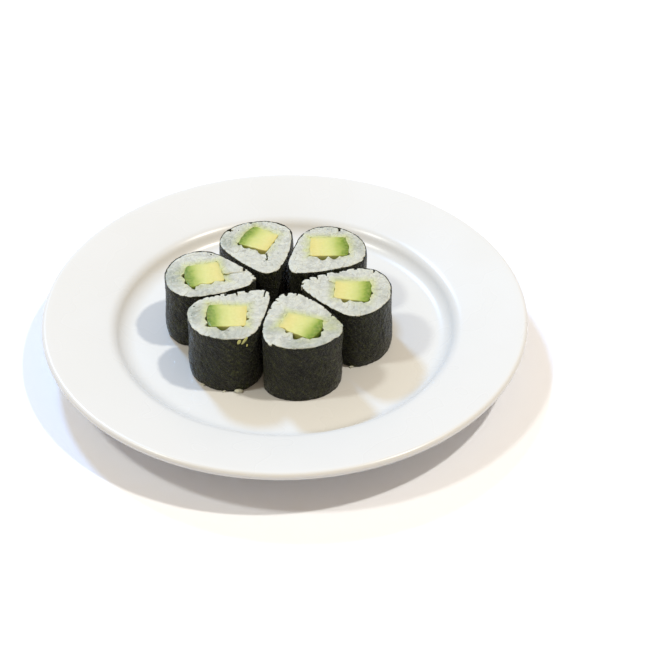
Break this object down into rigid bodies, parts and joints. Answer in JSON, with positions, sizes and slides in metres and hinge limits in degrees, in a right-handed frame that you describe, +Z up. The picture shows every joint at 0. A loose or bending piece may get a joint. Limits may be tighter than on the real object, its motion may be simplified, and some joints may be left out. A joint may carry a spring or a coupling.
{
  "type": "plate of maki sushi rolls",
  "caption": "Avocado maki pieces in nori, standing cut side up in a tight ring on a plain white rimmed porcelain plate.",
  "frame": {"origin": "on the table, under the middle of the plate", "axes": "+Z up; the side that is seen first faces -Y, with +X to its right"},
  "size_m": [0.18, 0.18, 0.031],
  "materials": {
    "porcelain": "gloss",
    "nori": "satin",
    "rice": "satin",
    "avocado": "satin"
  },
  "bodies": {
    "root": {"plate": "porcelain", "nori_front_left": "nori", "nori_front_right": "nori", "nori_right": "nori", "nori_back_right": "nori", "nori_back_left": "nori", "nori_left": "nori", "rice_front_left": "rice", "rice_front_right": "rice", "rice_right": "rice", "rice_back_right": "rice", "rice_back_left": "rice", "rice_left": "rice", "avocado_front_left": "avocado", "avocado_front_right": "avocado", "avocado_right": "avocado", "avocado_back_right": "avocado", "avocado_back_left": "avocado", "avocado_left": "avocado"}
  },
  "joints": []
}
